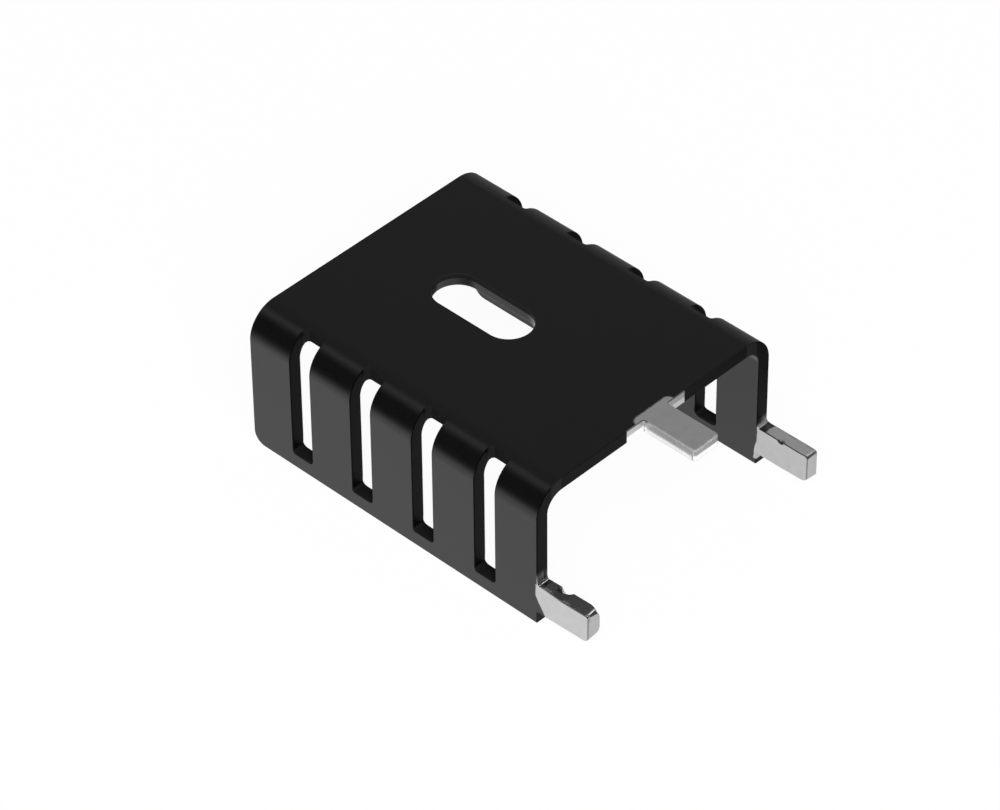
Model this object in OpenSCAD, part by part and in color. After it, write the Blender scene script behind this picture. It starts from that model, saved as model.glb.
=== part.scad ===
// Slotted channel heat sink for one upright power transistor package.
// It is one piece of sheet aluminium, punched flat and folded down on both sides, and black anodised.
// Three solder tabs, cut from the same sheet and tinned, run out of the front edge into a circuit board.
// The origin is the middle of the whole outline, at the height of the two free edges that it stands on.

/* [Sheet] */
// Thickness of the sheet
sheet_t = 1.15; // [0.8:0.05:1.5]
// Inside radius of the two folds
fold_r = 1.5; // [1:0.05:2.5]

/* [Channel] */
// Width over both side walls
channel_w = 25.4; // [22:0.1:40]
// Length of the base, from the front edge to the back edge
channel_l = 29.85; // [29:0.05:50]
// Height from the free edges to the top of the base
channel_h = 12.7; // [10:0.1:20]
// Radius on the lower back corner of each side wall
back_corner_r = 1.1; // [0.2:0.1:3]

/* [Package slot] */
// Width of the slot that takes the package screw
package_slot_w = 4; // [3:0.1:4.5]
// Length of that slot over its round ends
package_slot_l = 9.35; // [5:0.05:14]
// Distance from the back edge to the middle of the slot
package_slot_back = 12.25; // [9:0.25:16]

/* [Cooling slots] */
// Number of cooling slots in each side
cooling_slots = 4; // [1:1:4]
// Width of a cooling slot
cooling_slot_w = 2.05; // [1.2:0.05:3]
// Spacing of the cooling slots from middle to middle
cooling_slot_pitch = 6.4; // [4:0.02:7]
// Metal left under each cooling slot, above the free edge
cooling_slot_foot = 1.4; // [0.8:0.05:3]
// Distance from the outside of a wall to the upper end of its cooling slots, measured across the base
cooling_slot_inset = 1.95; // [1.6:0.05:4]
// Radius in the corners of a cooling slot
cooling_slot_r = 0.4; // [0.1:0.05:0.55]

/* [Solder tabs] */
// Reach of the three solder tabs beyond the front edge
tab_l = 5.08; // [3:0.02:8]
// Width of a solder tab
tab_w = 2.65; // [1.8:0.05:3.5]
// Height of the side tabs above the free edges
side_tab_foot = 1.1; // [0.6:0.05:3]
// Radius on the tip corners of the side tabs
side_tab_tip_r = 0.4; // [0.1:0.05:0.8]
// Fillet where the top of a side tab meets the front edge
side_tab_fillet_r = 0.4; // [0.1:0.05:1]
// Radius on the tip corners of the centre tab
centre_tab_tip_r = 0.15; // [0.1:0.05:0.8]

/* [Tool nicks] */
// Distance from the front edge to the nick in the top inner corner of the left side tab
left_nick_out = 1.95; // [1.5:0.05:2.5]
// Distance from the front edge to the nick in the top inner corner of the right side tab
right_nick_out = 2.45; // [1.5:0.05:2.5]
// Radius of the tool that left the nicks
nick_r = 0.65; // [0.3:0.05:0.8]
// Depth of the nick in the left side tab
left_nick_depth = 0.42; // [0.05:0.01:0.5]
// Depth of the nick in the right side tab
right_nick_depth = 0.14; // [0.05:0.01:0.5]

/* [Hidden] */
$fn = 96;
anodised = [0.14, 0.14, 0.15];
tinned = [0.78, 0.78, 0.76];
right_angle = 90;
// How far a cutter runs past the face that it opens
through = 1;
fold_outer_r = fold_r + sheet_t;
fold_x = channel_w / 2 - fold_outer_r;
fold_z = channel_h - fold_outer_r;
back_y = (channel_l + tab_l) / 2;
front_y = back_y - channel_l;

// Upright rectangle standing on the X axis, with both top corners rounded
module round_topped(w, h, r) {
    translate([-w / 2, 0]) square([w, h - r]);
    translate([-w / 2 + r, 0]) square([w - 2 * r, h]);
    for (side = [-1, 1]) translate([side * (w / 2 - r), h - r]) circle(r);
}

// What lies between the sharp corner at the origin and a round of radius r there
module corner_web(r, margin = 0) {
    difference() {
        translate([-margin, -margin]) square(r + margin);
        translate([r, r]) circle(r);
    }
}

// The folded section, extruded over the length of the base
module folded_sheet() {
    translate([0, back_y, 0]) rotate([right_angle, 0, 0]) linear_extrude(channel_l) difference() {
        round_topped(channel_w, channel_h, fold_outer_r);
        translate([0, -through])
            round_topped(channel_w - 2 * sheet_t, channel_h - sheet_t + through, fold_r);
    }
}

// Stands on the YZ plane of a side wall and is extruded across the whole channel
module across_channel() {
    translate([-channel_w / 2 - through, 0, 0]) rotate([right_angle, 0, right_angle])
        linear_extrude(channel_w + 2 * through) children();
}

// Removes the lower back corner of both side walls, outside the corner radius
module back_corners() {
    across_channel() translate([back_y, 0]) rotate(right_angle) corner_web(back_corner_r, through);
}

// The slot for the package screw, with full round ends, along the channel
module package_slot() {
    half_run = (package_slot_l - package_slot_w) / 2;
    translate([0, back_y - package_slot_back, channel_h - sheet_t - through])
        linear_extrude(sheet_t + 2 * through) {
            square([package_slot_w, 2 * half_run], center = true);
            for (end = [-1, 1]) translate([0, end * half_run]) circle(d = package_slot_w);
        }
}

// One cooling slot of the right-hand wall, with its middle on the XZ plane.
// It runs from its foot up the wall and over the fold, to an upright end face.
module cooling_slot() {
    // stretch in the wall, with round corners at its foot
    translate([channel_w / 2 - sheet_t - through, 0, fold_z]) rotate([0, right_angle, 0])
        rotate(-right_angle) linear_extrude(sheet_t + 2 * through)
            round_topped(cooling_slot_w, fold_z - cooling_slot_foot, cooling_slot_r);
    // stretch over the fold, with round corners at its upper end
    translate([channel_w / 2 + through, 0, fold_z]) rotate(right_angle)
        linear_extrude(fold_outer_r + through)
            round_topped(cooling_slot_w, cooling_slot_inset + through, cooling_slot_r);
}

// The row of cooling slots in both sides, centred on the base
module cooling_slot_rows() {
    for (side = [0, 1], n = [0 : cooling_slots - 1])
        translate([0, back_y - channel_l / 2 + (n - (cooling_slots - 1) / 2) * cooling_slot_pitch, 0])
            mirror([side, 0, 0]) cooling_slot();
}

// Solder tab in the plane of the right-hand wall
module side_tab() {
    translate([channel_w / 2 - sheet_t, 0, 0]) rotate([right_angle, 0, right_angle])
        linear_extrude(sheet_t) {
            translate([front_y, side_tab_foot + tab_w / 2]) rotate(right_angle)
                round_topped(tab_w, tab_l, side_tab_tip_r);
            translate([front_y, side_tab_foot + tab_w]) rotate(right_angle)
                corner_web(side_tab_fillet_r);
        }
}

// Solder tab in the plane of the base
module centre_tab() {
    translate([0, front_y, channel_h - sheet_t]) rotate(2 * right_angle)
        linear_extrude(sheet_t) round_topped(tab_w, tab_l, centre_tab_tip_r);
}

// Nick across the top inner corner of the right-hand side tab, measured square to that corner
module side_tab_nick(out, depth) {
    tilt = right_angle / 2;
    translate([channel_w / 2 - sheet_t, front_y - out, side_tab_foot + tab_w])
        rotate([0, tilt, 0]) translate([-nick_r + depth, 0, 0])
            cylinder(h = 2 * sheet_t, r = nick_r, center = true);
}

module heat_sink() {
    color(anodised) difference() {
        folded_sheet();
        back_corners();
        package_slot();
        cooling_slot_rows();
    }
    color(tinned) difference() {
        side_tab();
        side_tab_nick(right_nick_out, right_nick_depth);
    }
    color(tinned) mirror([1, 0, 0]) difference() {
        side_tab();
        side_tab_nick(left_nick_out, left_nick_depth);
    }
    color(tinned) centre_tab();
}

heat_sink();
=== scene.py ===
import math

import bpy
import numpy as np
from mathutils import Matrix, Vector
from mathutils.geometry import delaunay_2d_cdt


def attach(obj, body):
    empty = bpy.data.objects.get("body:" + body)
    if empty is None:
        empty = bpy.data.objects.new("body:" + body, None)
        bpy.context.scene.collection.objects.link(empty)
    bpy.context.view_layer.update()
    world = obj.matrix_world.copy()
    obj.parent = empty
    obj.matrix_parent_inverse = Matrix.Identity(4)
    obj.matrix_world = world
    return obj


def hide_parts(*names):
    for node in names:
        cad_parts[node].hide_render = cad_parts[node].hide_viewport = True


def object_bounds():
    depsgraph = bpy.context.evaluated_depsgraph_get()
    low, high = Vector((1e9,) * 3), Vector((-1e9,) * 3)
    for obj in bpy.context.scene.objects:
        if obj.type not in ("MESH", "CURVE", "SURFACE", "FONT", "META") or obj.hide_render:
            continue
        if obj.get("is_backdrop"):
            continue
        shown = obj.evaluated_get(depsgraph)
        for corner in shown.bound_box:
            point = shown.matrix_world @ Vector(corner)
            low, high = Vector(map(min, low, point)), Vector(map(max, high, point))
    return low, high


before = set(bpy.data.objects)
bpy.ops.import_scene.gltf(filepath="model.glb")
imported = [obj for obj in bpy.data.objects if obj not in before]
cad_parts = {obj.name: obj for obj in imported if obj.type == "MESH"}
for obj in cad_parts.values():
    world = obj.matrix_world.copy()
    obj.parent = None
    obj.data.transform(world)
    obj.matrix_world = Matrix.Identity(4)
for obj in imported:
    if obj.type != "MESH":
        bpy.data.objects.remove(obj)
cad_low, cad_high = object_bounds()

# Camera
# It stands high over the front left corner and far back, with a long lens, so that upright edges stay
# nearly parallel. It looks at the middle of the base, and the view is turned by less than a degree.
MM = 0.001
channel_l = 29.85
back_y = cad_high.y / MM
front_y = back_y - channel_l
camera_azimuth = math.radians(-45.9)
camera_elevation = math.radians(40.97)
camera_roll = math.radians(-0.56)
camera_distance = 384.9
camera_step_right = -0.74
camera_step_up = 3.336
photo_width_px = 1000
focal_px = 5024.24

camera_back = Vector((math.sin(camera_azimuth) * math.cos(camera_elevation),
                      -math.cos(camera_azimuth) * math.cos(camera_elevation),
                      math.sin(camera_elevation)))
camera_turn = Matrix.Rotation(camera_roll, 3, camera_back) @ camera_back.to_track_quat("Z", "Y").to_matrix()
camera_spot = Vector((0, back_y - channel_l / 2, 0)) + camera_back * camera_distance
camera_spot += camera_turn @ Vector((camera_step_right, camera_step_up, 0))

camera = bpy.data.objects.new("camera", bpy.data.cameras.new("camera"))
camera.data.sensor_width = 36
camera.data.lens = focal_px * camera.data.sensor_width / photo_width_px
camera.data.clip_start = 0.01
camera.data.clip_end = 10
camera.matrix_world = Matrix.Translation(camera_spot * MM) @ camera_turn.to_4x4()
bpy.context.scene.collection.objects.link(camera)
bpy.context.scene.camera = camera
bpy.context.scene.view_settings.view_transform = "Standard"


# White paper and studio light
# The heat sink stands on white paper in a dark room. Three soft boxes overhead and a dim one low at the back
# right show in its gloss, and one beside the camera only lights it. In gloss the paper carries painted light:
# a painted pool of white round the heat sink that grows dim further away, a painted shadow of the heat sink
# close behind its right wall, and a painted glow far to the right.
class Shade:
    """One output in a shader tree. Sums and products with numbers or other outputs add Math nodes."""

    def __init__(self, tree, socket=None):
        self.tree = tree
        self.socket = socket

    def node(self, kind, settings, inputs, output=0):
        """Adds a node, sets it up, fills or links its sockets, and gives one of its outputs, if any."""
        made = self.tree.nodes.new("ShaderNode" + kind)
        for name, value in settings.items():
            setattr(made, name, value)
        for name, value in inputs.items():
            if isinstance(value, Shade):
                self.tree.links.new(value.socket, made.inputs[name])
            else:
                made.inputs[name].default_value = value
        return Shade(self.tree, made.outputs[output] if made.outputs else None)

    def math(self, operation, first, second=0.0):
        return self.node("Math", {"operation": operation}, {0: first, 1: second})

    def __add__(self, other):
        return self.math("ADD", self, other)

    def __sub__(self, other):
        return self.math("SUBTRACT", self, other)

    def __rsub__(self, other):
        return self.math("SUBTRACT", other, self)

    def __mul__(self, other):
        return self.math("MULTIPLY", self, other)

    __radd__ = __add__
    __rmul__ = __mul__

    def at_most(self, limit):
        return self.math("MINIMUM", self, limit)

    def at_least(self, limit):
        return self.math("MAXIMUM", self, limit)

    def size(self):
        return self.math("ABSOLUTE", self)

    def rise(self, start, end):
        """A smooth step, 0 at start and 1 at end. Its value falls along the axis if start is the larger."""
        step = self.node("MapRange", {"interpolation_type": "SMOOTHSTEP"},
                         {"Value": self, "From Min": min(start, end), "From Max": max(start, end)})
        return step if start < end else 1 - step

    def mix(self, first, second):
        """A colour between two, with this value as the share of the second."""
        return self.node("Mix", {"data_type": "RGBA"}, {0: self, 6: first, 7: second}, 2)


def grey(level):
    return (level, level, level, 1.0)


def shader_tree(owner):
    """Empties the node tree of a material or a world, and gives a start for its nodes."""
    owner.use_nodes = True
    owner.node_tree.nodes.clear()
    return Shade(owner.node_tree)


paper_half_w = 600.0
paper_drop = 0.02
paper_diffuse = 0.9
paper_white_share = 0.96
# Painted light on the paper, seen only in gloss: a pool of white round the heat sink that fades away from it,
# a painted shadow of the heat sink behind its right wall, and a painted glow far to the right.
bright_end_r = 36.0
half_dim_r = 58.0
half_dim_loss = 0.6
far_r = 120.0
paper_far_level = 0.08
right_shade_start = 16.0
right_shade_end = 22.0
right_shade = 0.7
right_glow_start = 50.0
right_glow_end = 80.0
right_glow = 0.2
paper = bpy.data.objects.new("paper", bpy.data.meshes.new("paper"))
paper.data.from_pydata([(x * paper_half_w * MM, y * paper_half_w * MM, -paper_drop * MM)
                        for x, y in ((-1, -1), (1, -1), (1, 1), (-1, 1))], [], [(0, 1, 2, 3)])
paper.data.materials.append(bpy.data.materials.new("white_paper"))
bpy.context.scene.collection.objects.link(paper)
paper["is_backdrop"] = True

start = shader_tree(paper.data.materials[0])
to_camera = start.node("LightPath", {}, {}, "Is Camera Ray")
in_gloss = start.node("LightPath", {}, {}, "Is Glossy Ray")
through_glass = start.node("LightPath", {}, {}, "Is Transmission Ray")
lit = start.node("BsdfDiffuse", {}, {"Color": grey(paper_diffuse)})
paper_place = start.node("TexCoord", {}, {}, "Object")
to_right, along = (start.node("SeparateXYZ", {}, {0: paper_place}, axis) * (1 / MM) for axis in "XY")
away = start.math("SQRT", to_right * to_right + along * along)
painted_gloss_light = 1 - away.rise(bright_end_r, half_dim_r) * half_dim_loss
painted_gloss_light = painted_gloss_light - away.rise(half_dim_r, far_r) * (1 - half_dim_loss - paper_far_level)
# A painted shadow of the heat sink behind its right wall, then a painted glow far to the right.
painted_gloss_light = painted_gloss_light * (1 - to_right.rise(right_shade_start, right_shade_end) * right_shade)
painted_gloss_light = painted_gloss_light + to_right.rise(right_glow_start, right_glow_end) * right_glow
paper_colour = in_gloss.mix(grey(1.0), painted_gloss_light)
white = start.node("Emission", {}, {"Color": paper_colour, "Strength": 1.0})
white_share = (to_camera + in_gloss + through_glass).at_most(1.0) * paper_white_share
start.node("OutputMaterial", {}, {"Surface": start.node("MixShader", {}, {0: white_share, 1: lit, 2: white})})

# The room is white to the camera and through glass. In gloss it is dark, and below the horizon it is like
# far paper.
room_level = 0.045
world = bpy.data.worlds.new("room")
bpy.context.scene.world = world
start = shader_tree(world)
direction = start.node("TexCoord", {}, {}, "Generated")
below = start.math("LESS_THAN", start.node("SeparateXYZ", {}, {0: direction}, "Z"), 0.0)
to_camera = start.node("LightPath", {}, {}, "Is Camera Ray")
through_glass = start.node("LightPath", {}, {}, "Is Transmission Ray")
dark_part = below.mix(grey(room_level), grey(paper_far_level))
white_part = (to_camera + through_glass * below).at_most(1.0)
room = start.node("Background", {}, {"Color": white_part.mix(dark_part, grey(1.0)), "Strength": 1.0})
start.node("OutputWorld", {}, {"Surface": room})


def soft_box(name, spot, aim, width, depth, radiance, in_gloss):
    """A rectangular soft box at spot that faces aim. Its face has this radiance, where 1 is white."""
    lamp = bpy.data.lights.new(name, "AREA")
    lamp.shape = "RECTANGLE"
    lamp.size = width
    lamp.size_y = depth
    lamp.energy = radiance * math.pi * width * depth
    holder = bpy.data.objects.new(name, lamp)
    towards = Vector(aim) - Vector(spot)
    holder.visible_glossy = in_gloss
    holder.matrix_world = Matrix.Translation(spot) @ towards.to_track_quat("-Z", "Y").to_matrix().to_4x4()
    bpy.context.scene.collection.objects.link(holder)


soft_box("overhead_soft_box", spot=(0.36, 0.68, 1.0), aim=(0.36, 0.68, 0),
         width=2.28, depth=1.2, radiance=0.185, in_gloss=True)
soft_box("narrow_soft_box", spot=(-0.33, 0.66, 0.98), aim=(-0.33, 0.66, 0),
         width=0.36, depth=1.2, radiance=0.34, in_gloss=True)
soft_box("front_soft_box", spot=(0.66, -0.12, 0.98), aim=(0.66, -0.12, 0),
         width=0.5, depth=0.26, radiance=1.3, in_gloss=True)
soft_box("back_right_soft_box", spot=(0.34, 0.22, 0.12), aim=(0, 0, 0.12),
         width=0.3, depth=0.24, radiance=0.25, in_gloss=True)
soft_box("camera_side_soft_box", spot=(-0.66, -0.72, 0.84), aim=(0, 0, 0),
         width=1.0, depth=1.0, radiance=8.0, in_gloss=False)


# Folded sheet
# One blank is punched from 1.15 mm aluminium sheet, with its slots and its three solder tabs, folded down
# along both sides and black anodised. The tabs are then tinned, and two of them carry a nick from a tool.
sheet_t = 1.15
fold_r = 1.5
fold_outer_r = fold_r + sheet_t
middle_r = fold_r + sheet_t / 2
half_w = cad_high.x / MM
fold_x = half_w - fold_outer_r
top_z = cad_high.z / MM
fold_z = top_z - fold_outer_r
arc_l = middle_r * math.pi / 2
fold_end = fold_x + arc_l
half_blank = fold_end + fold_z
tip_y = cad_low.y / MM

# Radii of the rims: all round the blank, on the centre tab, at the feet of the cooling slots inside the
# channel, and along these slots where the right fold has stretched them.
edge_r = 0.08
centre_tab_edge_r = 0.13
soft_edge_r = 0.22
stretched_edge_r = 0.15

# Sizes of the blank's features. Where the two sides differ, -1 stands for the left one and 1 for the right
# one.
punch_r = 0.12
back_corner_r = 1.1
package_slot_w = 4.0
package_slot_l = 9.35
package_slot_y = back_y - 12.25
cooling_slots = 4
cooling_slot_w = 2.05
cooling_slot_pitch = 6.4
cooling_slot_steps = {-1: 0.0, 1: -0.1}
cooling_slot_foot = 1.4
cooling_slot_insets = {-1: 1.93, 1: 1.95}
cooling_slot_r = 0.4
cooling_slot_top_rs = {-1: 0.4, 1: 0.2}
foot_back_r = 0.18
foot_front_r = 0.3
foot_lean = 0.08
corner_xs = {side: half_w - inset + cooling_slot_top_rs[side] for side, inset in cooling_slot_insets.items()}
cooling_slot_ends = {side: fold_x + middle_r * math.asin((x - fold_x) / middle_r)
                     for side, x in corner_xs.items()}
cooling_slot_ys = [back_y - channel_l / 2 + (n - (cooling_slots - 1) / 2) * cooling_slot_pitch
                   for n in range(cooling_slots)]
tab_w = 2.65
side_tab_foot = 1.1
side_tab_top = half_blank - side_tab_foot - tab_w
side_tab_bottom = half_blank - side_tab_foot
side_tab_tip_r = 0.4
side_tab_fillet_rs = {-1: 0.4, 1: 0.25}
centre_tab_tip_r = 0.3

# The nick in each side tab: its distance from the front edge, its depth, the radius of the tool, and how many
# times as far it runs out towards the tip as towards the root.
nicks = {-1: (1.84, 0.23, 0.45, 1.5), 1: (2.4, 0.16, 0.6, 1.0)}

# How close together the mesh's points lie. A place on the flat blank is s across it, measured along the
# middle of the sheet, and y along it. A zone is (lowest s, highest s, lowest y, highest y, step), and the
# finest is last.
flat_step = 0.5
fold_step = middle_r * math.radians(4)
fine_step = 0.13
nick_step = 0.07
arc_step = 0.16
centre_zone_half_w = 1.8
centre_zone_back = 0.4
side_zone_back = 0.3
side_zone_top = 0.5
slot_zone_low = 0.9
slot_zone_high = 0.7
slot_zone_half_l = 1.9
nick_zone_w = 0.9
nick_zone_margin = 0.15
mesh_zones = [(-centre_zone_half_w, centre_zone_half_w, tip_y, front_y + centre_zone_back, fine_step)]
for side in (-1, 1):
    s = side * cooling_slot_ends[side]
    for y in cooling_slot_ys:
        mesh_zones.append((s - slot_zone_low, s + slot_zone_high, y - slot_zone_half_l, y + slot_zone_half_l,
                           fine_step))
    tab_ends = sorted((side * (side_tab_top - side_zone_top), side * side_tab_bottom))
    mesh_zones.append((*tab_ends, tip_y, front_y + side_zone_back, fine_step))
    nick_ends = sorted((side * side_tab_top, side * (side_tab_top + nick_zone_w)))
    nick_out, _, nick_r, run_out = nicks[side]
    nick_low_y = front_y - nick_out - nick_r * run_out - nick_zone_margin
    nick_high_y = front_y - nick_out + nick_r + nick_zone_margin
    mesh_zones.append((*nick_ends, nick_low_y, nick_high_y, nick_step))


def ramp(value, start, end):
    """0 up to start, 1 from end on, and a straight line between them."""
    return np.clip((value - start) / (end - start), 0, 1)


def step_at(s, y):
    """The step between points of an outline near a place on the blank."""
    in_fold = (np.abs(s) > fold_x) & (np.abs(s) < fold_end)
    step = np.where(in_fold, fold_step, flat_step)
    for s_low, s_high, y_low, y_high, zone_step in mesh_zones:
        in_zone = (s >= s_low) & (s <= s_high) & (y >= y_low) & (y <= y_high)
        step = np.where(in_zone, np.minimum(step, zone_step), step)
    return step


run_samples = 600
same_spot = 1e-6


def outline(corners):
    """Walks round (s, y, radius) corners with the metal on the left. Gives the points of the closed line, and
    the direction out of the metal at each of them."""
    points = []
    outward = []
    ends = []
    corners = [(np.array(c[:2], float), c[2]) for c in corners]
    for k, (here, radius) in enumerate(corners):
        way_in = here - corners[k - 1][0]
        way_in /= np.linalg.norm(way_in)
        way_out = corners[(k + 1) % len(corners)][0] - here
        way_out /= np.linalg.norm(way_out)
        turn = math.atan2(way_in[0] * way_out[1] - way_in[1] * way_out[0], way_in @ way_out)
        reach = radius * math.tan(abs(turn) / 2)
        left = np.array([-way_in[1], way_in[0]]) * math.copysign(1, turn)
        ends.append((here - way_in * reach, here + way_out * reach, way_in, turn, left, radius))
    for k, (arc_start, _, way_in, turn, left, radius) in enumerate(ends):
        run_start = ends[k - 1][1]
        run = arc_start - run_start
        share = np.linspace(0, 1, run_samples)
        density = np.linalg.norm(run) / step_at(*(run_start[:, None] + run[:, None] * share))
        total = np.concatenate(([0], np.cumsum((density[1:] + density[:-1]) / 2 * np.diff(share))))
        count = math.ceil(total[-1])
        for t in np.interp(np.arange(1, count) / max(count, 1) * total[-1], total, share):
            points.append(run_start + run * t)
            outward.append((way_in[1], -way_in[0]))
        centre = arc_start + left * radius
        arc_steps = max(4, math.ceil(abs(turn) * radius / arc_step))
        for a in turn * np.arange(arc_steps + 1) / arc_steps:
            swing = np.array([[math.cos(a), -math.sin(a)], [math.sin(a), math.cos(a)]])
            spot = centre - swing @ left * radius
            if not points or np.linalg.norm(spot - points[-1]) > same_spot:
                points.append(spot)
                outward.append(swing @ (way_in[1], -way_in[0]))
    if np.linalg.norm(points[0] - points[-1]) < same_spot:
        points.pop()
        outward.pop()
    return np.array(points), np.array(outward)


def box_corners(s_low, s_high, y_low, y_high, radii):
    """The corners of a hole, clockwise from its lowest corner, with the radius of each."""
    spots = [(s_low, y_low), (s_low, y_high), (s_high, y_high), (s_high, y_low)]
    return [(*spot, radius) for spot, radius in zip(spots, radii)]


def blank_half(side):
    """The corners of one half of the blank, from the tip of the centre tab to the back."""
    half = [(tab_w / 2, tip_y, centre_tab_tip_r),
            (tab_w / 2, front_y, punch_r),
            (side_tab_top, front_y, side_tab_fillet_rs[side]),
            (side_tab_top, tip_y, side_tab_tip_r),
            (side_tab_bottom, tip_y, side_tab_tip_r),
            (side_tab_bottom, front_y, punch_r),
            (half_blank, front_y, punch_r),
            (half_blank, back_y, back_corner_r)]
    return [(side * s, y, r) for s, y, r in half]


blank = blank_half(1) + blank_half(-1)[::-1]
package_slot = box_corners(-package_slot_w / 2, package_slot_w / 2, package_slot_y - package_slot_l / 2,
                           package_slot_y + package_slot_l / 2, [package_slot_w / 2] * 4)
# The punched outlines: first the blank's own, then the package slot's, then those of the cooling slots.
outlines = [outline(blank), outline(package_slot)]
slot_foot = half_blank - cooling_slot_foot
slot_tops = {side: end - cooling_slot_top_rs[side] for side, end in cooling_slot_ends.items()}
for y in cooling_slot_ys:
    for side in (1, -1):
        low_y = y + cooling_slot_steps[side] - cooling_slot_w / 2
        top = (side * slot_tops[side], cooling_slot_top_rs[side])
        foot = (side * slot_foot, cooling_slot_r)
        (s_low, r_low), (s_high, r_high) = sorted([top, foot])
        outlines.append(outline(box_corners(s_low, s_high, low_y, low_y + cooling_slot_w,
                                            [r_low, r_low, r_high, r_high])))

# How far down the sides of a slot the shift of its upper end dies away, and the lengths over which the rims
# and the lean of the foot change.
end_slide_l = 1.5
tab_rim_start = 0.1
tab_rim_end = 0.6
foot_full_l = 0.1
foot_blend_l = 0.4
lean_blend_l = 0.5
stretch_start_l = 0.5
stretch_end_l = 0.8
corner_margin = 0.001


def upright_end(s, n, side):
    """Moves the upper end of a cooling slot's outline at height n, so that the end face stands upright in the
    fold. The straight sides slide along themselves to follow it."""
    past = np.abs(s) - cooling_slot_ends[side]
    reach = corner_xs[side] - fold_x
    slide = middle_r * np.arcsin(reach / (middle_r + n)) + fold_x - cooling_slot_ends[side]
    in_end = fold_x + middle_r * np.arcsin(np.clip(reach + past, -np.inf, reach) / (middle_r + n))
    beside = np.abs(s) + slide * (1 - ramp(past, 0, end_slide_l))
    return side * np.where(past < 0, in_end, beside)


def sharper_foot(points, outward, n):
    """How far to move a cooling slot's outline at height n, so that the corners of its foot are sharper on
    the outside of the channel."""
    across = points[:, 1] - (points[:, 1].min() + points[:, 1].max()) / 2
    at_foot = np.abs(points[:, 0]) > slot_foot - cooling_slot_r - corner_margin
    in_corner = at_foot & (np.abs(across) > cooling_slot_w / 2 - cooling_slot_r - corner_margin)
    less = cooling_slot_r - np.where(across > 0, foot_back_r, foot_front_r)
    less = np.where(in_corner, less * (n / sheet_t + 0.5), 0)
    return less[:, None] * (np.sign(np.column_stack([points[:, 0], across])) + outward)


def rim_radii(s, y, slot_facing):
    """How round the punched rims are at a place, on the outside and on the inside of the channel. slot_facing
    is how squarely the side of a cooling slot faces along y, and None anywhere but in these slots."""
    if slot_facing is None:
        on_centre_tab = ramp(front_y - y, tab_rim_start, tab_rim_end) * (np.abs(s) < fold_x)
        radius = edge_r + (centre_tab_edge_r - edge_r) * on_centre_tab
        return radius, radius
    at_foot = ramp(np.abs(s), slot_foot - foot_blend_l - foot_full_l, slot_foot - foot_full_l)
    in_fold = ramp(s, cooling_slot_ends[1], cooling_slot_ends[1] + stretch_start_l)
    in_fold = in_fold * (1 - ramp(s, fold_end - stretch_end_l / 2, fold_end + stretch_end_l / 2))
    outer = edge_r + (stretched_edge_r - edge_r) * in_fold * np.abs(slot_facing)
    return outer, edge_r + (soft_edge_r - edge_r) * at_foot


def fold(s, y, n):
    """Where a place on the blank comes to lie in the channel, and which ways s and n point there. n is the
    height over the middle of the sheet."""
    side = np.sign(s)
    past = np.abs(s) - fold_x
    turn = np.clip(past / middle_r, 0, math.pi / 2)
    x = side * (fold_x + np.minimum(past, 0) + (middle_r + n) * np.sin(turn))
    z = fold_z + (middle_r + n) * np.cos(turn) - np.maximum(past - arc_l, 0)
    level = np.zeros_like(x)
    along_s = np.stack([np.cos(turn), level, -side * np.sin(turn)], 1)
    along_n = np.stack([side * np.sin(turn), level, np.cos(turn)], 1)
    return np.stack([x, y, z], 1), along_s, along_n


# Layers through the thickness, from the under face to the top: the share of the straight wall's half height,
# and how far the surface there faces up and outwards. The lowest layers in the package slot are burnished by
# the punch. Above them the metal tore off, and is dull.
round_steps = 4
wall_steps = 8
burnished_steps = 5
quarter = [math.pi / 2 * k / round_steps for k in range(round_steps + 1)]
layers = [(1.0, math.cos(a), math.sin(a)) for a in quarter]
layers += [(1 - 2 * k / wall_steps, 0.0, 1.0) for k in range(1, wall_steps // 2 + 1)]
layers = [(-wall, -up, out) for wall, up, out in layers[:-1]] + layers[::-1]

tab_gloss_start = 0.3
blank_points = []
blank_normals = []
upright = []
triangles = []
glossy = []
count = 0
for k, (points, outward) in enumerate(outlines):
    size = len(points)
    in_package_slot = k == 1
    in_cooling_slot = k > 1
    top_radius, low_radius = rim_radii(*points.T, outward[:, 1] if in_cooling_slot else None)
    side = 1 if points[0, 0] > 0 else -1
    for wall, up, out in layers:
        radius = top_radius if wall > 0 else low_radius
        n = wall * (sheet_t / 2 - radius) + radius * up
        moved = points - (radius * (1 - out))[:, None] * outward
        if in_cooling_slot:
            moved += sharper_foot(points, outward, n)
        s, y = moved.T
        upright.append((np.abs(s) < cooling_slot_ends[side]) & in_cooling_slot)
        if in_cooling_slot:
            at_foot = ramp(np.abs(s), slot_foot - lean_blend_l - foot_full_l, slot_foot - foot_full_l)
            s = upright_end(s, n, side) + side * foot_lean * at_foot * n / (sheet_t / 2)
        blank_points.append(np.stack([s, y, n], 1))
        blank_normals.append(np.column_stack([out * outward, np.full(size, up)]))
    here = np.arange(size)
    ahead = (here + 1) % size
    for layer in range(len(layers) - 1):
        low = count + layer * size
        high = low + size
        triangles.append(np.stack([low + here, low + ahead, high + ahead], 1))
        triangles.append(np.stack([low + here, high + ahead, high + here], 1))
        in_rim = layer < round_steps or layer >= len(layers) - 1 - round_steps
        on_tab = (points[:, 1] < front_y - tab_gloss_start) & (k == 0)
        burnished = in_package_slot and layer < round_steps + burnished_steps
        glossy.append(np.tile(burnished | (in_rim & on_tab), 2))
    count += size * len(layers)


rays_at_once = 2000


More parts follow.
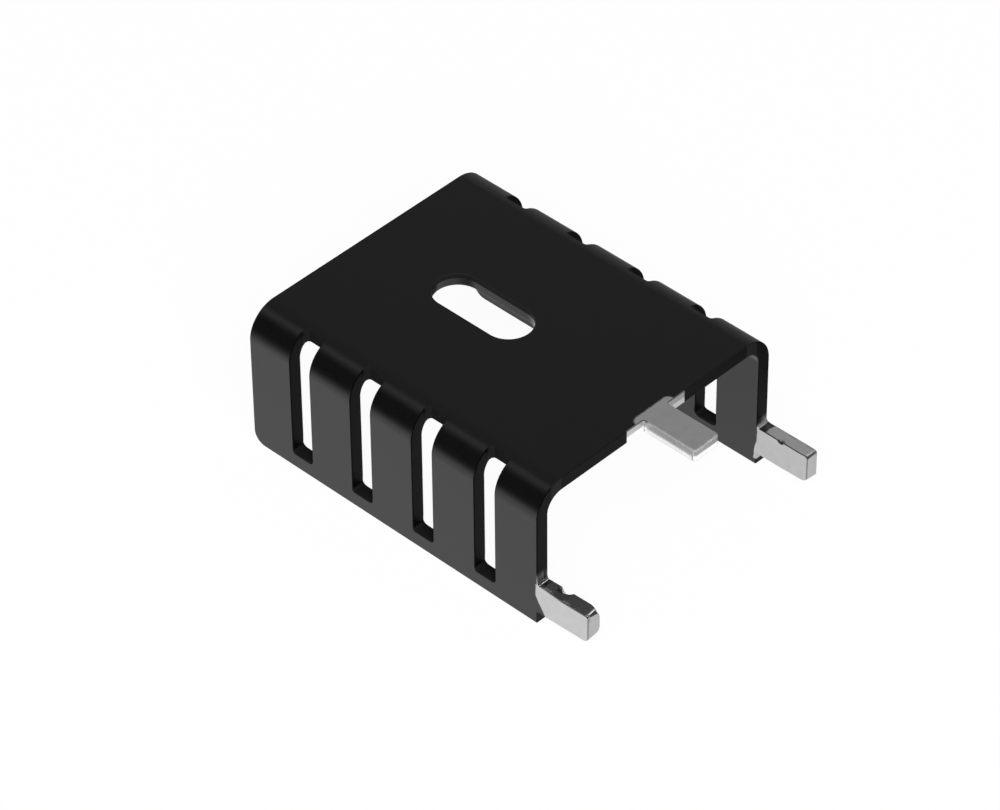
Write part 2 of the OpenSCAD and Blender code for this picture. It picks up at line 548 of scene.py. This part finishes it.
def inside(points, loops):
    """Which points lie on the metal, by counting the outlines between each point and the far right."""
    odd = np.zeros(len(points), bool)
    for loop in loops:
        ahead = np.roll(loop, -1, 0)
        for block in range(0, len(points), rays_at_once):
            s, y = points[block:block + rays_at_once, :1], points[block:block + rays_at_once, 1:]
            spans = (loop[:, 1] > y) != (ahead[:, 1] > y)
            drop = np.where(ahead[:, 1] == loop[:, 1], 1.0, ahead[:, 1] - loop[:, 1])
            crossing = loop[:, 0] + (y - loop[:, 1]) / drop * (ahead[:, 0] - loop[:, 0])
            odd[block:block + rays_at_once] ^= (spans & (crossing > s)).sum(1) % 2 == 1
    return odd


fold_rows = 22
flat_rows = 20
least_gap = 0.6
gaps_at_once = 1000


def face_points(loops):
    """Points in rows over one face of the sheet, clear of its outlines."""
    over_fold = np.linspace(fold_x, fold_end, fold_rows + 1)
    down_wall = np.linspace(fold_end, half_blank, flat_rows + 1)[1:]
    over_base = np.linspace(0, fold_x, flat_rows + 1)[:-1]
    half = np.concatenate([over_base, over_fold, down_wall])
    rows = np.concatenate([-half[:0:-1], half])
    columns = np.arange(front_y, back_y, flat_step)
    grid = np.stack(np.meshgrid(rows, columns), -1).reshape(-1, 2)
    for s_low, s_high, y_low, y_high, step in mesh_zones:
        outside = (grid[:, 0] < s_low) | (grid[:, 0] > s_high) | (grid[:, 1] < y_low) | (grid[:, 1] > y_high)
        fine = np.stack(np.meshgrid(np.arange(s_low, s_high + step / 2, step),
                                    np.arange(y_low, y_high + step / 2, step)), -1).reshape(-1, 2)
        grid = np.concatenate([grid[outside], fine])
    grid = grid[inside(grid, loops)]
    border = np.concatenate(loops)
    gap = np.full(len(grid), np.inf)
    for block in range(0, len(grid), gaps_at_once):
        away = grid[block:block + gaps_at_once, None] - border
        gap[block:block + gaps_at_once] = np.hypot(away[..., 0], away[..., 1]).min(1)
    return grid[gap > least_gap * step_at(*grid.T)]


weld_distance = 1e-7
for layer, height in ((0, -sheet_t / 2), (len(layers) - 1, sheet_t / 2)):
    loops = []
    numbers = []
    first = 0
    for points, outward in outlines:
        size = len(points)
        rows = first + layer * size + np.arange(size)
        loops.append(np.concatenate(blank_points)[rows, :2])
        numbers.append(rows)
        first += size * len(layers)
    grid = face_points(loops)
    numbers = np.concatenate(numbers + [count + np.arange(len(grid))])
    sides = []
    first = 0
    for loop in loops:
        sides += [(first + k, first + (k + 1) % len(loop)) for k in range(len(loop))]
        first += len(loop)
    flat = [Vector(p) for p in np.concatenate(loops + [grid])]
    spots, _, faces, sources, _, _ = delaunay_2d_cdt(flat, sides, [], 0, weld_distance)
    spots = np.array([tuple(p) for p in spots])
    faces = np.array(faces)
    faces = faces[inside(spots[faces].mean(1), loops)]
    sources = np.array([source[0] for source in sources])
    faces = numbers[sources[faces]]
    triangles.append(faces if height > 0 else faces[:, ::-1])
    blank_points.append(np.column_stack([grid, np.full(len(grid), height)]))
    blank_normals.append(np.tile((0.0, 0.0, math.copysign(1, height)), (len(grid), 1)))
    upright.append(np.zeros(len(grid), bool))
    glossy.append(np.ones(len(faces), bool))
    count += len(grid)

triangles = np.concatenate(triangles)
blank_points = np.concatenate(blank_points)
blank_normals = np.concatenate(blank_normals)
even, along_s, along_n = fold(*blank_points.T)
along_s = np.where(np.concatenate(upright)[:, None], (1.0, 0.0, 0.0), along_s)
smooth = blank_normals[:, :1] * along_s + blank_normals[:, 2:] * along_n
smooth[:, 1] += blank_normals[:, 1]


least_length = 1e-12


def surface_normals(points):
    """The mean direction of the triangles round each point."""
    a, b, c = (points[triangles[:, k]] for k in range(3))
    facing = np.cross(b - a, c - a)
    total = np.zeros_like(points)
    for k in range(3):
        np.add.at(total, triangles[:, k], facing)
    return total / np.maximum(np.linalg.norm(total, axis=1, keepdims=True), least_length)


def smooth_least(a, b, soft):
    """The lesser of two values, with the corner between them rounded off."""
    blend = ramp(b - a, -soft, soft)
    return b * (1 - blend) + a * blend - soft * blend * (1 - blend)


# How each side tab differs from a plain one: how far its top rises at the root and at the tip, how far its
# bottom rises at the tip, how thick the solder lies on its inner face, how much of that face's tip corners is
# gone, and the radii of the tip corners: top outside and inside, bottom outside and inside.
tab_wear = {-1: (0.17, 0.1, 0.2, 0.16, 0.4, (0.25, 0.5, 0.45, 0.6)),
            1: (-0.04, 0.0, 0.1, 0.03, 0.1, (0.25, 0.35, 0.3, 0.5))}
root_blend_l = 0.5
solder_start = 0.6
solder_full = 2.2
corner_loss_height = 0.5
corner_loss_l = 1.0
nick_softness = 0.1


def worn(points):
    """Gives the side tabs the shapes that the worn tool and the solder leave them."""
    points = points.copy()
    for side, (root_rise, top_rise, bottom_rise, solder_t, corner_loss, tip_radii) in tab_wear.items():
        near = (points[:, 0] * side > half_w - 2 * sheet_t) & (points[:, 1] < front_y)
        x, y, z = points[near].T
        along = (front_y - y) / (front_y - tip_y)
        inner = ramp(half_w - x * side, 0, sheet_t)
        middle = side_tab_foot + tab_w / 2
        height = z - middle
        top_out, top_in, bottom_out, bottom_in = tip_radii
        top_radius = top_out + (top_in - top_out) * inner
        bottom_radius = bottom_out + (bottom_in - bottom_out) * inner
        halves = []
        for r in (np.where(height > 0, top_radius, bottom_radius), side_tab_tip_r):
            short = np.clip(r - (y - tip_y), 0, r)
            halves.append(tab_w / 2 - r + np.sqrt(r * r - short * short))
        root = ramp(front_y - y, 0, root_blend_l)
        root = root * root * (3 - 2 * root)
        top = root_rise * root * (1 - ramp(along, 0, 0.5)) + top_rise * ramp(along, 0.5, 1)
        upper = ramp(height, -tab_w / 2, tab_w / 2)
        corner = ramp(np.abs(height), corner_loss_height, tab_w / 2) * (1 - ramp(y - tip_y, 0, corner_loss_l))
        solder = solder_t * ramp(front_y - y, solder_start, solder_full) - corner_loss * corner ** 2
        x = x - side * inner * solder
        z = middle + height * halves[0] / halves[1] + top * upper + bottom_rise * along * (1 - upper)
        points[near] = np.stack([x, y, z], 1)
    return points


def nicked(points):
    """Presses the nick of a round tool into the top inner corner of each side tab."""
    points = points.copy()
    for side, (nick_out, depth, nick_r, run_out) in nicks.items():
        outward = np.array([-side, 0, 1]) / math.sqrt(2)
        corner = np.array([side * (half_w - sheet_t), front_y - nick_out, side_tab_foot + tab_w])
        tool = corner + outward * (nick_r - depth)
        height = (points - tool) @ outward
        along = points[:, 1] - tool[1]
        reach = np.clip(1 - (along / np.where(along < 0, nick_r * run_out, nick_r)) ** 2, 0, None)
        near = (points[:, 0] * side > half_w - 2 * sheet_t) & (points[:, 1] < front_y) & (reach > 0)
        floor = -nick_r * np.sqrt(reach)
        pressed = smooth_least(height, floor, nick_softness)
        points += np.where(near, pressed - height, 0)[:, None] * outward
    return points


places = nicked(worn(even))
smooth += surface_normals(places) - surface_normals(even)
smooth /= np.linalg.norm(smooth, axis=1, keepdims=True)

sheet = bpy.data.objects.new("folded_sheet", bpy.data.meshes.new("folded_sheet"))
sheet.data.from_pydata(places * MM, [], triangles)
sheet.data.polygons.foreach_set("use_smooth", [True] * len(triangles))
sheet.data.polygons.foreach_set("material_index", np.where(np.concatenate(glossy), 0, 1))
sheet.data.update()
sheet.data.normals_split_custom_set_from_vertices(smooth)
bpy.context.scene.collection.objects.link(sheet)


# The tin hides the film on the tabs and a little way past their roots. On the outside of each side wall its
# limit slants back down the tab; on the base it reaches in from the front edge with round corners. A pair
# below is where a smooth step starts and where it ends.
tab_top = side_tab_foot + tab_w
to_right_half = (-1.0, 1.0)
to_centre_tab = (fold_x, fold_x - 1.0)
to_outer_face = (half_w - 0.8, half_w - 0.4)
to_side_wall = (half_w - 1.6, half_w - 1.4)
over_foot = (side_tab_foot - 0.12, side_tab_foot - 0.02)
right_foot_drop = 0.5
side_tin_back = 0.19
side_tin_slant = 0.61
right_inner_slant = 0.14
side_tin_bend_z = 2.8
side_feather = 0.05
face_fade = (tab_top + 0.25, tab_top + 0.05)
edge_fade = (tab_top + 1.6, tab_top + 0.05)
right_edge_fade_drop = 0.4
centre_tin_half_w = 2.05
centre_tin_edge_half_w = 3.15
centre_tin_back = 0.56
centre_tin_r = 0.6
centre_feathers = (0.06, 0.2)


def tin_share(x, y, z, wander, edge):
    """How much of the film is hidden by tin at a place. edge tells the punched edges from the faces."""
    across = x.size()
    at_right = x.rise(*to_right_half)
    outside = across.rise(*to_outer_face)
    below_bend = (side_tin_bend_z - z).at_least(0.0)
    limit = front_y + outside * (side_tin_back - below_bend * side_tin_slant)
    limit = limit + (1 - outside) * below_bend * at_right * right_inner_slant + wander
    side = (limit - y).rise(-side_feather, side_feather) * across.rise(*to_side_wall)
    if edge:
        side = side * (z + at_right * right_edge_fade_drop).rise(*edge_fade)
    else:
        side = side * z.rise(*face_fade)
    side = side * (z + at_right * right_foot_drop).rise(*over_foot)
    half = centre_tin_edge_half_w if edge else centre_tin_half_w
    feather = centre_feathers[0] if edge else centre_feathers[1]
    sideways = (across + wander - (half - centre_tin_r)).at_least(0.0)
    inwards = (y + wander - (front_y + centre_tin_back - centre_tin_r)).at_least(0.0)
    short = centre_tin_r - x.math("SQRT", sideways * sideways + inwards * inwards)
    centre = short.rise(-feather, feather) * z.rise(fold_z, fold_z + 0.5)
    return (side + centre).at_most(1.0)


# How bright the tin is, where 1 is the whitest. Its brightness by side is painted light on one and the same
# tin: the tops of the side tabs and the centre tab's faces are painted lighter, and the side tabs are painted
# darker below their tops, as the light falls there. Beside the roots the tops of the side tabs carry a
# painted dark reflection of the base's underside, the tips of their faces a painted shade line, and the
# centre tab's edges are dull in bands.
to_side_tab = (half_w - 3.0, half_w - 2.5)
to_tab_top = (tab_top - 0.15, tab_top - 0.05)
# Painted light on the side tabs' edges: darker at the ends and lighter on the tops, as the light falls.
edge_tone = 0.44
tab_top_painted_light = 0.56
over_tab = (tab_top + 0.05, tab_top + 0.3)
near_root = (front_y - 0.5, front_y - 0.2)
wall_edge_loss = 0.58
# A painted dark reflection of the base's underside on the side tabs' tops beside their roots: where it starts
# and ends, how far it wanders, its step on the right, and how much it darkens.
root_reflection_start = (front_y - 0.15, front_y - 0.25)
root_reflection_end = (front_y - 0.65, front_y - 0.45)
root_reflection_wander = 2.0
right_root_reflection_step = 0.3
root_reflection_loss = 0.6
right_root_reflection_loss = 0.25
dull_band = (12.0, 12.2)
dull_band_wander = 0.5
to_tip_rim = (tip_y + 0.2, tip_y + 0.1)
past_centre_tab = (tab_w / 2 + 0.05, tab_w / 2 + 0.3)
dull_band_share = 0.7
dull_tip_share = 0.35
dull_loss = 0.5
# Painted light on the faces: the side tabs' faces darker and the centre tab's faces lighter, as light falls.
face_tone = 0.58
right_face_loss = 0.08
# A painted shade line along the tips of the side tabs' faces, and how much it darkens them.
to_face_rim = (tip_y + 0.1, tip_y + 0.03)
face_rim_painted_shade = 0.6
centre_face_tone = 0.94
nick_flank_start = (front_y - 1.3, front_y - 1.4)
nick_flank_end = (front_y - 1.85, front_y - 1.75)
nick_flank_x = (half_w - 0.5, half_w - 0.7)
nick_flank_z = (tab_top - 0.6, tab_top - 0.4)
nick_flank_loss = 0.65
tone_wander = 0.8


def tin_tone(x, y, z, wander, edge):
    """How bright the tin is at a place."""
    across = x.size()
    at_right = x.rise(*to_right_half)
    if edge:
        at_top = z.rise(*to_tab_top)
        side = at_top * tab_top_painted_light + edge_tone - z.rise(*over_tab) * y.rise(*near_root) * wall_edge_loss
        # Painted dark reflection of the base's underside on the tops near the roots.
        root_reflection = (y + wander * root_reflection_wander + at_right * right_root_reflection_step).rise(*root_reflection_end) * y.rise(*root_reflection_start)
        side = side * (1 - root_reflection * at_top * (at_right * right_root_reflection_loss + root_reflection_loss))
        dull = (z + wander * dull_band_wander).rise(*dull_band)
        dull = dull * (y.rise(*to_tip_rim) * dull_tip_share + dull_band_share)
        centre = 1 - dull.at_least(x.rise(*past_centre_tab)) * dull_loss
    else:
        side = (face_tone - at_right * right_face_loss) * (1 - y.rise(*to_face_rim) * face_rim_painted_shade)
        centre = centre_face_tone
    in_nick = (1 - at_right) * y.rise(*nick_flank_start) * y.rise(*nick_flank_end)
    in_nick = in_nick * across.rise(*nick_flank_x) * z.rise(*nick_flank_z)
    side = side * (1 - in_nick * nick_flank_loss)
    return (across.rise(*to_side_tab) * (side - centre) + centre) * (wander * tone_wander + 1)


# The anodised faces are smooth and the punched edges dull. Each row is a finish: name, grey level, roughness,
# specular level, strength of the pits in its tin, and whether it is an edge.
finishes = (("anodised_face", 0.0032, 0.22, 0.42, 0.6, False),
            ("punched_edge", 0.0018, 0.5, 0.05, 0.12, True))
blotch_scale = 1100.0
speckle_scale = 5200.0
pit_depth = 0.00002
centre_edge_pits = 0.2
tin_wander = 0.22
tin_roughness = 0.28
to_top_rim = (top_z - 0.003, top_z - 0.02)
rim_roughness = 0.4
rim_metal_loss = 0.2
edge_roughness = -0.12
right_edge_roughness = 0.1
centre_edge_roughness = -0.1
dull_edge_roughness = 0.4
scuff_roughness = 0.45
scuff_x = (half_w - 0.4, half_w - 0.2)
scuff_z = (side_tab_foot + 2.0, 3.4)
scuff_edge = (-0.01, 0.01)
# Punched edges are a little greyer at the upper ends and on the floors of the cooling slots, round the
# package slot, and on the rim of the base: the levels, and the steps that bound these places.
slot_end_level = 0.008
slot_end_start = (fold_x, fold_x + 0.1)
slot_end_stop = (fold_x + 1.2, fold_x + 1.1)
slot_end_z = (11.0, 11.1)
slot_floor_level = 0.008
slot_floor_x = (half_w - 1.3, half_w - 1.2)
slot_floor_z = (1.7, 1.5)
package_slot_level = 0.007
to_package_slot = (package_slot_w / 2 + 0.2, package_slot_w / 2 + 0.1)
base_rim_level = 0.006
base_rim_x = (fold_x + 0.3, fold_x)
base_rim_z = (top_z - 0.09, top_z - 0.06)
for name, level, roughness, shine, pitting, edge in finishes:
    material = bpy.data.materials.new(name)
    sheet.data.materials.append(material)
    start = shader_tree(material)
    place = start.node("TexCoord", {}, {}, "Object")
    x, y, z = (start.node("SeparateXYZ", {}, {0: place}, axis) * (1 / MM) for axis in "XYZ")
    across = x.size()
    at_centre = across.rise(*to_centre_tab)
    blotches = start.node("TexNoise", {}, {"Vector": place, "Scale": blotch_scale, "Detail": 2.0})
    wander = (blotches - 0.5) * tin_wander
    tin = tin_share(x, y, z, wander, edge)
    tone = tin_tone(x, y, z, wander, edge)
    pits = start.node("TexNoise", {}, {"Vector": place, "Scale": speckle_scale, "Detail": 3.0}) * tin
    if edge:
        pits = pits * (1 - at_centre * (1 - centre_edge_pits))
        metal = tin
        scuffed = across.rise(*scuff_x) * wander.rise(*scuff_edge) * z.rise(*scuff_z)
        tin_rough = tin_roughness + edge_roughness + x.rise(*to_right_half) * right_edge_roughness
        tin_rough = tin_rough + scuffed * scuff_roughness
        tin_rough = tin_rough + at_centre * (z.rise(*dull_band) * dull_edge_roughness + centre_edge_roughness)
        slot_end = across.rise(*slot_end_start) * across.rise(*slot_end_stop) * z.rise(*slot_end_z)
        slot_floor = across.rise(*slot_floor_x) * z.rise(*slot_floor_z) * (1 - tin)
        at_package = across.rise(*to_package_slot) * (1 - tin)
        base_rim = across.rise(*base_rim_x) * z.rise(*base_rim_z)
        level = slot_end * slot_end_level + slot_floor * slot_floor_level + level
        level = level + at_package * package_slot_level + base_rim * base_rim_level
    else:
        at_rim = at_centre * z.rise(*to_top_rim)
        metal = tin * (1 - at_rim * rim_metal_loss)
        tin_rough = tin_roughness + at_rim * rim_roughness
    pitted = start.node("Bump", {}, {"Strength": pitting, "Distance": pit_depth, "Height": pits})
    shiny = start.node("BsdfPrincipled", {}, {
        "Base Color": tin * tin * (tone - level) + level,
        "Metallic": metal,
        "Roughness": tin * (tin_rough - roughness) + roughness,
        "Specular IOR Level": shine,
        "Normal": pitted})
    start.node("OutputMaterial", {}, {"Surface": shiny})

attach(sheet, "root")
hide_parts("heat_sink")

# Sizes of the shown model beside those of the CAD model, both as lowest and highest corner in metres.
low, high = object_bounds()
